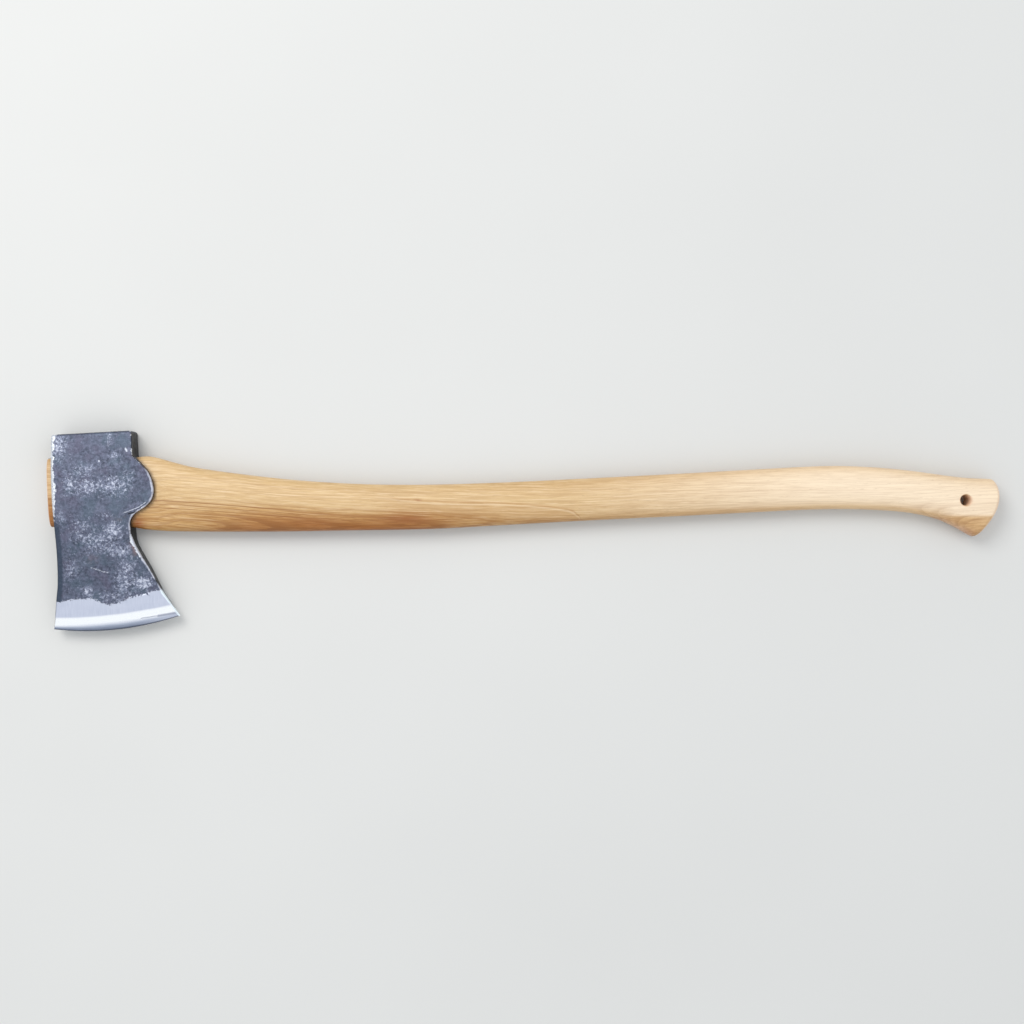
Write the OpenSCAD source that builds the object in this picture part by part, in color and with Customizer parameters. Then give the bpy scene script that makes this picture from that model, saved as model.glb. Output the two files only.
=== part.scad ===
// Single-bit felling axe: a forged head hung on a long curved hardwood haft.
// The axe lies on its side. The haft runs along X with the head at the low end,
// the cutting edge faces -Y, and Z is the thickness. Every solid is built about
// the centre of the eye's front mouth, and place() then moves it so that the
// origin is the middle of the bottom of the axe's bounding box.

/* [Head] */
// Thickness across the cheeks at the eye
head_thickness = 29; // [28:0.5:33]
// Thickness across the poll
poll_thickness = 26; // [22:0.2:28]
// Height of the head along its front side, from the poll to the toe
front_height = 182; // [178:0.5:190]
// Height of the head along its back side, from the poll to the heel
back_height = 173; // [170:0.5:180]
// How far the middle of the cutting edge stands below the line from toe to heel
edge_sag = 6.6; // [2:0.1:12]
// Radius worn on the long edges of the forging
forge_round = 2; // [1:0.1:3]

/* [Eye] */
// Height of the eye, and of the tongue that fills it
eye_height = 64.4; // [60:0.2:65]
// Width of the eye at its back mouth, where the haft enters
eye_back_width = 18.4; // [16:0.1:19]
// Width of the eye at its front mouth, where the wedge spreads the tongue
eye_front_width = 20; // [18:0.1:21]

/* [Haft] */
// How far the tongue stands out of the front of the head
tongue_proud = 7.4; // [4:0.2:12]
// How much less the tongue stands out at its lower side, as it was sawn askew
tongue_skew = 3; // [0:0.5:4]
// Distance from the front of the head to the last full section of the knob
knob_station = 863; // [820:1:900]
// Thickness of the haft through its long middle stretch
grip_thickness = 23.6; // [20:0.2:26]
// Thickness of the haft just behind the head
shoulder_thickness = 25.2; // [22:0.2:27]
// Thickness of the knob at the end of the haft
knob_thickness = 28.6; // [25:0.2:28.8]
// How far the end of the knob bulges past its corners
knob_bulge = 8.5; // [6:0.5:12]
// Radius worn on the rim of the knob's end
knob_round = 3.5; // [2:0.1:4]

/* [Hanging hole] */
// Diameter of the hole through the knob
hang_hole_d = 10; // [6:0.5:12]
// Distance of the hole from the last full section of the knob
hang_hole_back = 13.5; // [11:0.5:30]
// Height of the hole above the eye's centre line
hang_hole_y = -7; // [-12:0.5:-3]

/* [Wedge and staple] */
// Thickness of the wooden wedge at the sawn end of the tongue
wedge_thickness = 6.4; // [4:0.2:8]
// Thickness of the wedge's leading end
wedge_tip = 1.6; // [1:0.1:2.4]
// Distance of the wedge's leading end behind the front of the head
wedge_depth = 58; // [50:1:70]
// Length of the staple's crown
staple_length = 23; // [18:0.5:24]
// Width of the staple's crown and legs
staple_width = 2.6; // [2:0.1:3.5]
// Depth that the staple's three legs reach into the wood
staple_depth = 17; // [10:0.5:22]
// Angle of the staple's crown to the wedge
staple_angle = 30; // [20:1:40]

/* [Hidden] */
steel = "#4a4f58";
hickory = "#cfa56c";
wedge_wood = "#b98d55";
bright_steel = "#9a9a9c";

// ---- curves -------------------------------------------------------------

// Smooth curve through knots [t, value], with t rising
function span(k, t, i = 0) =
    (i >= len(k) - 2 || t <= k[i + 1][0]) ? i : span(k, t, i + 1);
function rate(k, i) =
    let (a = max(i - 1, 0), b = min(i + 1, len(k) - 1))
    (k[b][1] - k[a][1]) / (k[b][0] - k[a][0]);
function curve(k, t) =
    let (
        i = span(k, t),
        h = k[i + 1][0] - k[i][0],
        u = min(max((t - k[i][0]) / h, 0), 1),
        v = 1 - u
    )
    k[i][1] * v * v * (1 + 2 * u) + k[i + 1][1] * u * u * (3 - 2 * u)
    + h * u * v * (rate(k, i) * v - rate(k, i + 1) * u);

function mix(a, b, t) = a + (b - a) * t;
function rise(t) = let (u = min(max(t, 0), 1)) u * u * (3 - 2 * u);
function signed_pow(v, p) = sign(v) * pow(abs(v), p);
// Point at angle a on a superellipse of half sizes 1, as [along Y, along Z]
function squircle(a, p) = [signed_pow(cos(a), 2 / p), signed_pow(sin(a), 2 / p)];

// Closed surface over rings of equally many points. A ring starts just above the
// plane z = 0 and ends just below it, with halves that mirror each other, so
// strips that join each point to its mirror image close the two ends.
function strip(n, base, i) =
    [base + i, base + i + 1, base + n - 2 - i, base + n - 1 - i];
function flipped(face) = [for (i = [len(face) - 1:-1:0]) face[i]];
module tube(rings) {
    n = len(rings[0]);
    last = len(rings) - 1;
    polyhedron(
        points = [for (r = rings) each r],
        faces = concat(
            [for (i = [0:n / 2 - 2]) strip(n, 0, i)],
            [for (r = [0:last - 1], i = [0:n - 1]) let (j = (i + 1) % n)
                [r * n + j, r * n + i, (r + 1) * n + i]],
            [for (r = [0:last - 1], i = [0:n - 1]) let (j = (i + 1) % n)
                [r * n + j, (r + 1) * n + i, (r + 1) * n + j]],
            [for (i = [0:n / 2 - 2]) flipped(strip(n, last * n, i))]
        ),
        convexity = 6
    );
}

// ---- head ---------------------------------------------------------------

// The head is a stack of slices, from the poll down to the cutting edge. A
// slice's place is its share s of the head's height, the same on both sides.
poll_front_y = 54;
poll_back_y = 58;
poll_round = 3.2;
drawn_front = 182;
drawn_back = 173;
// Front side: [drop below the poll, distance behind the front of the poll]
front_line = [
    [0, -1.8], [33, -1.6], [61, -0.6], [80, 0.8], [98, 2.2], [117, 3],
    [136, 2.8], [154, 1], [182, -1.8]
];
// Back side: the straight poll, the round lug over the haft, the neck, the heel
back_line = [
    [0, 73.5], [12, 74], [22, 74.5], [24.6, 75.4], [29.6, 81], [39.6, 89.6],
    [53.6, 94.2], [64.6, 92.3], [71.2, 86.2], [76.8, 77.6], [82.4, 73.2],
    [88.6, 72.1], [99.6, 74], [111.6, 79], [129.6, 89.6], [148.6, 99.8],
    [158.6, 106.4], [173, 116.6]
];
// Half thickness over the cutting edge: [height above it, share of the cheeks'].
// A share over 1 is cut down to 1, which leaves the cheeks flat beside the eye.
edge_bevel = 3.3;
ground_bevel = 10.7;
ground_line = 27.5;
cheek_line = [
    [ground_bevel, 0.16], [ground_line, 0.327], [50, 0.533], [75, 0.76],
    [95, 0.937], [108, 1.01], [122, 1.03], [138, 1.02], [150, 0.99],
    [166, 0.945], [182, poll_thickness / head_thickness]
];
edge_half = 0.15;
edge_bevel_half = 1;

function front_x(s) = curve(front_line, s * drawn_front);
function back_x(s) = curve(back_line, s * drawn_back);
function cheek_half(up) =
    let (bevel_half = curve(cheek_line, ground_bevel) * head_thickness / 2)
    up <= edge_bevel ? mix(edge_half, edge_bevel_half, up / edge_bevel)
    : up <= ground_bevel ? mix(edge_bevel_half, bevel_half,
                               (up - edge_bevel) / (ground_bevel - edge_bevel))
    : min(1, curve(cheek_line, up)) * head_thickness / 2;

// Shares of the height at which slices lie, closer together at the poll's rim
slice_step = 3;
slice_ups = concat(
    [for (a = [0, 30, 60]) drawn_front - poll_round * (1 - sin(90 - a))],
    [for (up = [drawn_front - poll_round : -slice_step : ground_line + 1]) up],
    [ground_line, 22, 16, ground_bevel, 7, edge_bevel, 0]
);
across = 7;
corner_steps = 3;

// Outline of one slice: a rectangle with rounded corners, as [x, z]
function quarter(x, z, r, from) =
    [for (i = [0:corner_steps]) let (a = from + 90 * i / corner_steps)
        [x + r * cos(a), z + r * sin(a)]];
function slice_outline(x0, x1, half, r) = concat(
    quarter(x1 - r, half - r, r, 0),
    [for (i = [across - 1:-1:1]) [mix(x0 + r, x1 - r, i / across), half]],
    quarter(x0 + r, half - r, r, 90),
    quarter(x0 + r, r - half, r, 180),
    [for (i = [1:across - 1]) [mix(x0 + r, x1 - r, i / across), -half]],
    quarter(x1 - r, r - half, r, 270)
);
// The slice in space: tilted from front to back, and bowed near the edge
function slice(up) =
    let (
        s = 1 - up / drawn_front,
        drop = drawn_front - up,
        tuck = drop < poll_round
            ? poll_round - sqrt(poll_round ^ 2 - (poll_round - drop) ^ 2) : 0,
        half = cheek_half(up) - tuck,
        x0 = front_x(s) + tuck,
        x1 = back_x(s) - tuck,
        r = min(forge_round, half * 0.8),
        sag = edge_sag * max(0, 2 * s - 1) ^ 1.6,
        yf = poll_front_y - s * front_height,
        yb = poll_back_y - s * back_height
    )
    [for (q = slice_outline(x0, x1, half, r))
        let (u = (q[0] - front_x(s)) / (back_x(s) - front_x(s)))
        [q[0], mix(yf, yb, u) - sag * 4 * u * (1 - u), q[1]]];

head_slices = [for (up = slice_ups) slice(up)];

// ---- haft ---------------------------------------------------------------

loop_points = 36;
eye_power = 2.9;
function eye_half(x) = mix(eye_front_width, eye_back_width, x / 94) / 2;

// Upper and lower outlines of the haft: [distance behind the head's front, Y].
// The tongue's part, up to the back mouth of the eye, follows the eye's height.
eye_top = eye_height / 2;
upper_line = [
    [-20, eye_top], [60, eye_top], [75, 33.2], [87, 34.2], [98, 32],
    [110, 28.6], [130, 23.8], [180, 16.8], [230, 11.5], [290, 8.1],
    [350, 7.7], [420, 9.8], [500, 13.6], [580, 17.7], [650, 21.6],
    [700, 24.3], [730, 25.2], [765, 24], [800, 20.8], [835, 16],
    [853, 14], [870, 13.2], [884, 12.6]
];
lower_line = [
    [-20, -eye_top], [60, -eye_top], [72, -32.4], [85, -34.4], [110, -36.1],
    [200, -36.4], [280, -35.2], [350, -34], [420, -30.3], [500, -25.9],
    [580, -22.1], [650, -18.5], [700, -16], [735, -15.3], [770, -16.2],
    [800, -18.8], [825, -24.4], [843, -32.4], [856, -39.8], [864, -42.4]
];
// Half thickness of the haft behind the eye, and how square its section is
half_line = [
    [96, eye_half(96)], [108, 10.9], [128, shoulder_thickness / 2],
    [200, shoulder_thickness / 2 - 0.3], [300, grip_thickness / 2],
    [620, grip_thickness / 2], [740, grip_thickness / 2 + 0.8],
    [820, knob_thickness / 2 - 0.8], [863, knob_thickness / 2]
];
power_line = [[96, eye_power], [130, 2.6], [300, 2.25], [700, 2.2], [863, 2.5]];
// How far the last section leans back at its upper end and forward at its tip
knob_top_lean = 13;
knob_tip_lean = 5.4;

// Distances along the haft are stretched behind the shoulder with its length
drawn_station = 863;
shoulder_x = 100;
haft_stretch = (knob_station - shoulder_x) / (drawn_station - shoulder_x);
function stretched(x) = x < shoulder_x ? x : shoulder_x + (x - shoulder_x) * haft_stretch;

function haft_half(x) = x < 96 ? eye_half(x) : curve(half_line, x);
function haft_power(x) = x < 96 ? eye_power : curve(power_line, x);

// Ends of the section at x on the upper and the lower outline. Sections of the
// knob lean back, and those of the tongue's end follow the skew of its sawn face.
function section_ends(x) =
    let (
        turn = rise((x - 770) / 100),
        upper_x = x + knob_top_lean * turn,
        lower_x = x - knob_tip_lean * turn,
        skew = tongue_skew * rise(-x / tongue_proud)
    )
    [[upper_x, curve(upper_line, upper_x)],
     [lower_x + skew, curve(lower_line, lower_x)]];
function section_normal(x) =
    let (e = section_ends(x), d = e[0] - e[1])
    [d[1], -d[0]] / norm(d);
function section_reach(x) =
    let (e = section_ends(x))
    norm(e[0] - e[1]) / 2;
// Point of the section at x, for c from -1 at the lower end to 1 at the upper
function section_point(x, c, forward) =
    let (
        e = section_ends(x),
        bulge = knob_bulge * rise((x - 790) / 80) * (1 - c * c) * (1 + 0.35 * c)
    )
    (e[0] + e[1]) / 2 + c * (e[0] - e[1]) / 2
    + section_normal(x) * (bulge + forward);

// One section of the haft, shrunk by inset and pushed forward along its normal
function haft_ring(x, inset = 0, forward = 0) =
    [for (i = [0:loop_points - 1])
        let (
            q = squircle(360 * (i + 0.5) / loop_points, haft_power(x)),
            p = section_point(x, q[0] * (1 - inset / section_reach(x)), forward)
        )
        [stretched(p[0]), p[1], q[1] * (haft_half(x) - inset)]];

// Stations along the haft. The tongue's first one stands just outside the head,
// and the head's eye is cut with the same sections that fill it.
tongue_round = 1.6;
tongue_stations = [-2.2, 30, 60, 67, 76, 86, 94, 100, 106];
haft_rings = concat(
    [for (a = [0:30:90])
        haft_ring(tongue_round * (1 - cos(a)) - tongue_proud, tongue_round * (1 - sin(a)))],
    [for (x = tongue_stations) haft_ring(x)],
    [for (x = [113, 121, 130, 142, 156]) haft_ring(x)],
    [for (x = [175:25:700]) haft_ring(x)],
    [for (x = [720:14:804]) haft_ring(x)],
    [for (x = [815:9:851]) haft_ring(x)],
    [for (a = [0:30:90])
        haft_ring(drawn_station, knob_round * (1 - cos(a)), knob_round * sin(a))]
);

// ---- frame --------------------------------------------------------------

xs = [for (r = haft_rings, p = r) p[0]];
ys = [for (r = head_slices, p = r) p[1]];
frame_x = (min(xs) + max(xs)) / 2;
frame_y = (min(ys) + max(ys)) / 2;
module place() {
    translate([-frame_x, -frame_y, head_thickness / 2]) children();
}

// ---- wedge, staple and hole ---------------------------------------------

staple_turn = [staple_angle, 0, 0];
leg_spread = staple_length / 2 - staple_width / 2;
crown_sink = 2.2;

module wedge_blank() {
    rotate([90, 0, 0])
        linear_extrude(height = eye_height + 20, center = true)
            polygon([
                [-tongue_proud - 2, -wedge_thickness / 2],
                [-tongue_proud - 2, wedge_thickness / 2],
                [wedge_depth, wedge_tip / 2],
                [wedge_depth, -wedge_tip / 2]
            ]);
}

module tongue_blank() {
    tube([for (r = [0:8]) haft_rings[r]]);
}

// The crown lies in the sawn end of the tongue, with three legs behind it
module staple_blank() {
    face = -tongue_proud + tongue_skew / 2;
    rotate(staple_turn) {
        translate([face + crown_sink / 2, 0, 0])
            cube([crown_sink, staple_length, staple_width], center = true);
        for (leg = [-1, 0, 1])
            translate([face, leg * leg_spread - staple_width / 2, -staple_width / 2])
                cube([staple_depth, staple_width, staple_width]);
    }
}

module hang_hole() {
    translate([stretched(drawn_station - hang_hole_back), hang_hole_y, 0])
        cylinder(d = hang_hole_d, h = 2 * head_thickness, center = true, $fn = 64);
}

// ---- parts --------------------------------------------------------------

module axe_head() {
    color(steel) place() difference() {
        tube(head_slices);
        tube([for (x = tongue_stations) haft_ring(x)]);
    }
}

module haft() {
    color(hickory) place() difference() {
        tube(haft_rings);
        wedge_blank();
        staple_blank();
        hang_hole();
    }
}

module eye_wedge() {
    color(wedge_wood) place() difference() {
        intersection() {
            tongue_blank();
            wedge_blank();
        }
        staple_blank();
    }
}

module wedge_staple() {
    color(bright_steel) place() staple_blank();
}

axe_head();
haft();
eye_wedge();
wedge_staple();
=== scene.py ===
"""Looks of a long single-bit axe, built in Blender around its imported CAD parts.

Shapes are worked out in millimetres about the centre of the eye's front mouth, with the
curves of the CAD solids, and put in the row's frame in metres when a mesh is made.
"""

import bmesh
import bpy
import numpy as np
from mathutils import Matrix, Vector


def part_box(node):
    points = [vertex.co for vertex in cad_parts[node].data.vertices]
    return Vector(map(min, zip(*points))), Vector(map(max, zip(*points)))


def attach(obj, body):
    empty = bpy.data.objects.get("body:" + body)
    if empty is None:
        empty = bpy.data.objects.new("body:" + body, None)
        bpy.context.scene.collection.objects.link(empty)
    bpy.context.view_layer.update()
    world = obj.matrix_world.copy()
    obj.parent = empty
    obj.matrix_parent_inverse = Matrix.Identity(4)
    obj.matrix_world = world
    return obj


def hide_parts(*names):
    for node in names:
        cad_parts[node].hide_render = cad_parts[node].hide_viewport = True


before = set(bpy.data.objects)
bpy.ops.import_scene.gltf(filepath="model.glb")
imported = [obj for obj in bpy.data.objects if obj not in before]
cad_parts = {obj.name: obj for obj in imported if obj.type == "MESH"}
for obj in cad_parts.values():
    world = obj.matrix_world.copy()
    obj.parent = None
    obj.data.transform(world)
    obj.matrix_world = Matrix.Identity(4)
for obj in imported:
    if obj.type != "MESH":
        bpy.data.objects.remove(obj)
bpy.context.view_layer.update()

MM = 0.001
# Faces and edges smaller than this are slivers that booleans leave
SLIVER = 0.002 * MM

# The wedge ends a known distance behind the eye's mouth and is centred on the eye.
WEDGE_DEPTH = 58.0
wedge_low, wedge_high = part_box("eye_wedge")
head_low, head_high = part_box("axe_head")
haft_low, haft_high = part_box("haft")
EYE = Vector((
    wedge_high.x - WEDGE_DEPTH * MM,
    (wedge_low.y + wedge_high.y) / 2,
    (wedge_low.z + wedge_high.z) / 2,
))

# Driving sizes, in millimetres
HEAD_THICKNESS = (head_high.z - head_low.z) / MM
POLL_THICKNESS = 26.0
FRONT_HEIGHT = 182.0
BACK_HEIGHT = 173.0
EDGE_SAG = 6.6
EYE_HEIGHT = 64.4
EYE_FRONT_WIDTH = 20.0
EYE_BACK_WIDTH = 18.4
TONGUE_PROUD = (EYE.x - haft_low.x) / MM
TONGUE_SKEW = 3.0
KNOB_STATION = 863.0
KNOB_THICKNESS = (haft_high.z - haft_low.z) / MM
SHOULDER_THICKNESS = 25.2
GRIP_THICKNESS = 23.6
KNOB_BULGE = 8.5
KNOB_ROUND = 3.5
HOLE_RADIUS = 5.0
HOLE_BACK = 13.5
HOLE_Y = -7.0
WEDGE_THICKNESS = 6.4
WEDGE_TIP = 1.6
STAPLE_LENGTH = 23.0
STAPLE_WIDTH = 2.6
STAPLE_DEPTH = 17.0
STAPLE_SINK = 2.2
STAPLE_ROUND = 0.35
STAPLE_ANGLE = np.radians(30)
# How much thinner the staple's legs are than its crown, per side, and the share of their
# width left at their points
LEG_INSET = 0.4
LEG_TAPER = 0.35
# Room around the wedge and the staple where they are let into the wood
KERF_GAP = 0.05
SLOT_GAP = 0.08


# ---- curves and noise ----

def curve(knots, t):
    """Smooth curve through the knots (t, value), as the CAD draws it."""
    xs, ys = np.array(knots, float).T
    before = np.maximum(np.arange(len(xs)) - 1, 0)
    after = np.minimum(np.arange(len(xs)) + 1, len(xs) - 1)
    rates = (ys[after] - ys[before]) / (xs[after] - xs[before])
    t = np.asarray(t, float)
    i = np.clip(np.searchsorted(xs, t) - 1, 0, len(xs) - 2)
    h = xs[i + 1] - xs[i]
    u = np.clip((t - xs[i]) / h, 0, 1)
    v = 1 - u
    return (ys[i] * v * v * (1 + 2 * u) + ys[i + 1] * u * u * (3 - 2 * u)
            + h * u * v * (rates[i] * v - rates[i + 1] * u))


def mix(a, b, t):
    return a + (b - a) * t


def rise(t):
    u = np.clip(t, 0, 1)
    return u * u * (3 - 2 * u)


def squircle(count, power):
    """Points around a superellipse of half sizes 1, as (along Y, along Z)."""
    angle = 2 * np.pi * (np.arange(count) + 0.5) / count
    c, s = np.cos(angle), np.sin(angle)
    return (np.sign(c) * np.abs(c) ** (2 / power), np.sign(s) * np.abs(s) ** (2 / power))


def lumps(points, size, seed):
    """Smooth random values from -1 to 1 at the points, in lumps about size across."""
    side = 32
    table = np.random.default_rng(seed).uniform(-1, 1, (side, side, side))
    q = points / np.asarray(size, float) + 1000.37
    cell = np.floor(q).astype(int)
    f = rise(q - cell)
    total = np.zeros(len(points))
    for corner in range(8):
        step = np.array([corner & 1, corner >> 1 & 1, corner >> 2])
        index = (cell + step) % side
        share = np.prod(np.where(step, f, 1 - f), axis=1)
        total += table[tuple(index.T)] * share
    return total


# ---- meshes ----

def ring_faces(rings, n):
    """Quads between neighbouring rings of n points."""
    r, i = np.meshgrid(np.arange(rings - 1), np.arange(n), indexing="ij")
    j = (i + 1) % n
    quads = np.stack([(r + 1) * n + j, (r + 1) * n + i, r * n + i, r * n + j], axis=-1)
    return quads.reshape(-1, 4).tolist()


def add_object(name, data):
    """A new object of the scene."""
    obj = bpy.data.objects.new(name, data)
    bpy.context.scene.collection.objects.link(obj)
    return obj


def set_values(mesh, values):
    """Stores named float values per point, for the materials."""
    for name, value in values.items():
        layer = mesh.attributes.new(name, "FLOAT", "POINT")
        layer.data.foreach_set("value", np.asarray(value, np.float32))


def make_object(name, points, faces, values=None):
    """A mesh object from points in millimetres about the eye, with float values per point."""
    mesh = bpy.data.meshes.new(name)
    mesh.from_pydata((np.asarray(points) * MM + np.array(EYE)).tolist(), [], faces)
    outward = bmesh.new()
    outward.from_mesh(mesh)
    bmesh.ops.recalc_face_normals(outward, faces=outward.faces)
    outward.to_mesh(mesh)
    outward.free()
    set_values(mesh, values or {})
    mesh.update()
    return add_object(name, mesh)


def tube(name, rings, values=None, pole_end=True):
    """A closed surface over rings of equally many points.

    The first ring is closed by a pole, and so is the last, unless pole_end is false. It
    is then closed by strips between its points and their mirror images.
    """
    rings = np.asarray(rings, float)
    count, n, _ = rings.shape
    points = rings.reshape(-1, 3)
    last = (count - 1) * n
    faces = ring_faces(count, n)
    poles = [rings[0].mean(axis=0)]
    faces += [[len(points), (i + 1) % n, i] for i in range(n)]
    if pole_end:
        poles.append(rings[-1].mean(axis=0))
        faces += [[len(points) + 1, last + i, last + (i + 1) % n] for i in range(n)]
    else:
        faces += [[last + i, last + i + 1, last + n - 2 - i, last + n - 1 - i]
                  for i in range(n // 2 - 1)]
    points = np.concatenate([points, poles])
    if values:
        ends = [0, count - 1][:len(poles)]
        values = {key: np.concatenate([value.reshape(-1), value[ends].mean(axis=1)])
                  for key, value in values.items()}
    return make_object(name, points, faces, values)


def grid_normals(rings):
    """Outward normals of a grid of rings, from the differences between neighbours."""
    around = np.roll(rings, -1, axis=1) - np.roll(rings, 1, axis=1)
    along = np.gradient(rings, axis=0)
    normals = np.cross(around, along)
    lengths = np.linalg.norm(normals, axis=2, keepdims=True)
    return normals / np.maximum(lengths, 1e-9)


def shrunk(ring, scales):
    """Copies of a ring scaled about its middle."""
    middle = ring.mean(axis=0)
    return np.array([middle + (ring - middle) * s for s in scales])


def cut(obj, tool, operation="DIFFERENCE"):
    """Applies a boolean to obj and removes the tool."""
    change = obj.modifiers.new("cut", "BOOLEAN")
    change.object = tool
    change.operation = operation
    change.solver = "MANIFOLD"
    bpy.context.view_layer.update()
    done = obj.evaluated_get(bpy.context.evaluated_depsgraph_get())
    mesh = bpy.data.meshes.new_from_object(done)
    obj.modifiers.clear()
    old = obj.data
    obj.data = mesh
    bpy.data.meshes.remove(old)
    bpy.data.objects.remove(tool)


def smooth(obj, angle):
    """Smooth shading with sharp edges where faces meet at more than angle degrees.

    The slivers that the booleans leave are removed first.
    """
    clean = bmesh.new()
    clean.from_mesh(obj.data)
    bmesh.ops.remove_doubles(clean, verts=clean.verts, dist=SLIVER)
    bmesh.ops.dissolve_degenerate(clean, edges=clean.edges, dist=SLIVER)
    clean.to_mesh(obj.data)
    clean.free()
    obj.data.polygons.foreach_set("use_smooth", [True] * len(obj.data.polygons))
    obj.data.set_sharp_from_angle(angle=np.radians(angle))


# ---- outlines, as in the CAD ----

FRONT_LINE = [
    (0, -1.8), (33, -1.6), (61, -0.6), (80, 0.8), (98, 2.2), (117, 3), (136, 2.8), (154, 1),
    (182, -1.8),
]
BACK_LINE = [
    (0, 73.5), (12, 74), (22, 74.5), (24.6, 75.4), (29.6, 81), (39.6, 89.6), (53.6, 94.2),
    (64.6, 92.3), (71.2, 86.2), (76.8, 77.6), (82.4, 73.2), (88.6, 72.1), (99.6, 74), (111.6, 79),
    (129.6, 89.6), (148.6, 99.8), (158.6, 106.4), (173, 116.6),
]
POLL_FRONT_Y = 54.0
POLL_BACK_Y = 58.0
POLL_ROUND = 3.2
EDGE_BEVEL = 3.3
GROUND_BEVEL = 10.7
GROUND_LINE = 27.5
EDGE_HALF = 0.15
EDGE_BEVEL_HALF = 1.0
CHEEK_LINE = [
    (GROUND_BEVEL, 0.16), (GROUND_LINE, 0.327), (50, 0.533), (75, 0.76), (95, 0.937), (108, 1.01),
    (122, 1.03), (138, 1.02), (150, 0.99), (166, 0.945), (182, POLL_THICKNESS / HEAD_THICKNESS),
]
HALF_TOP = EYE_HEIGHT / 2
UPPER_LINE = [
    (-20, HALF_TOP), (60, HALF_TOP), (75, 33.2), (87, 34.2), (98, 32), (110, 28.6), (130, 23.8),
    (180, 16.8), (230, 11.5), (290, 8.1), (350, 7.7), (420, 9.8), (500, 13.6), (580, 17.7),
    (650, 21.6), (700, 24.3), (730, 25.2), (765, 24), (800, 20.8), (835, 16), (853, 14),
    (870, 13.2), (884, 12.6),
]
LOWER_LINE = [
    (-20, -HALF_TOP), (60, -HALF_TOP), (72, -32.4), (85, -34.4), (110, -36.1), (200, -36.4),
    (280, -35.2), (350, -34), (420, -30.3), (500, -25.9), (580, -22.1), (650, -18.5), (700, -16),
    (735, -15.3), (770, -16.2), (800, -18.8), (825, -24.4), (843, -32.4), (856, -39.8),
    (864, -42.4),
]
EYE_POWER = 2.9
# Where the haft leaves the eye's taper, and the length that the taper is stated over
NECK = 96
TAPER_LENGTH = 94


def eye_half(x):
    return mix(EYE_FRONT_WIDTH, EYE_BACK_WIDTH, x / TAPER_LENGTH) / 2


HALF_LINE = [
    (NECK, float(eye_half(NECK))), (108, 10.9), (128, SHOULDER_THICKNESS / 2),
    (200, SHOULDER_THICKNESS / 2 - 0.3), (300, GRIP_THICKNESS / 2), (620, GRIP_THICKNESS / 2),
    (740, GRIP_THICKNESS / 2 + 0.8), (820, KNOB_THICKNESS / 2 - 0.8), (863, KNOB_THICKNESS / 2),
]
POWER_LINE = [(NECK, EYE_POWER), (130, 2.6), (300, 2.25), (700, 2.2), (863, 2.5)]
KNOB_TOP_LEAN = 13
KNOB_TIP_LEAN = 5.4


# ---- head ----

# Points of one slice: steps across a cheek, along half a side, and around a corner
ACROSS = 134
SIDE = 11
CORNER = 5

# Thickness of the dark skin over the ground metal, and the height where it has faded
SKIN = 0.1
SKIN_TOP = 48.0

# How far the two lower bevels reach further up in mid-edge than at its ends
EDGE_BEVEL_BOW = 3.2
GROUND_BEVEL_BOW = 2.0

# Height over the edge where the grinding stops, from the front of the head to its back
UPPER_REACH = [
    (0, 25.6), (0.1, 27), (0.2, 28.6), (0.34, 28.2), (0.41, 25.4), (0.47, 22), (0.6, 22.4),
    (0.7, 25), (0.85, 25.4), (0.94, 26.6), (1, 25.6),
]
LOWER_REACH = [(0, 29), (0.2, 27), (0.45, 29.6), (0.7, 31), (0.85, 29), (1, 27.2)]

# Width of the bare metal along the front and the back side, at heights over the eye
FRONT_WORN = [
    (-110, 0.2), (-34, 0.3), (-26, 1.6), (-16, 2.6), (-6, 4.4), (8, 4.0), (25, 2.8), (40, 3.4),
    (54, 3.8),
]
BACK_WORN = [
    (-110, 1.0), (-75, 1.1), (-62, 1.6), (-54, 3.0), (-42, 3.0), (-36, 1.3), (-24, 1.1),
    (-16, 2.2), (-8, 1.4), (4, 0.9), (14, 0.7), (22, 0.3), (28, 0.7), (56, 0.8),
]

# Width of the painted highlight, a thin bright line, along the back corner
BACK_ARRIS_HIGHLIGHT = [
    (-112, 1.9), (-60, 2.0), (-40, 1.9), (-30, 1.7), (-20, 2.3), (-10, 2.3), (10, 2.2), (20, 1.6),
    (28, 0.4), (58, 0.4),
]

# Worn patches of the cheeks: x, y, half width, half height, strength, which is below
# zero where the skin is smooth and dark
UPPER_WEAR = [
    (57, 7, 11, 9, 0.9), (32, 5, 12, 9, 0.8), (15, 7, 6, 10, 0.7), (72, 10, 7, 10, 0.5),
    (6, 44, 8, 14, 0.8), (53, 50, 3, 8, 0.7), (57, 34, 5, 4, 0.8), (57, -35, 9, 9, 1.0),
    (39, -45, 14, 11, 0.7), (62, -54, 12, 5, 0.9), (17, -72, 9, 11, 0.55), (65, -81, 10, 16, 0.85),
    (84, -84, 8.5, 7, 1.2), (31, -92, 5, 5.5, 1.15), (48, -97, 9, 7, 0.5), (24, -11, 14, 6, -0.7),
    (56, -13, 10, 5, -0.4), (85, 8, 6, 14, -0.5), (44, -78, 13, 9, -0.6), (24, -36, 11, 8, 0.35),
    (76, 40, 8, 12, -0.5), (40, 40, 14, 10, -0.3), (30, 22, 14, 6, 0.5), (8, -22, 4, 8, 0.7),
    (50, -20, 12, 4, 0.4), (26, -27, 9, 5, 0.4), (70, -66, 8, 5, 0.4),
]
LOWER_WEAR = [
    (48, 4, 20, 12, 0.9), (16, 24, 9, 22, 0.7), (70, -8, 8, 12, 0.6), (30, -38, 16, 9, 0.9),
    (60, -66, 14, 12, 0.8), (24, -88, 12, 7, 1.2), (82, -88, 9, 6, 0.9), (62, 44, 12, 8, 0.6),
]

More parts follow.
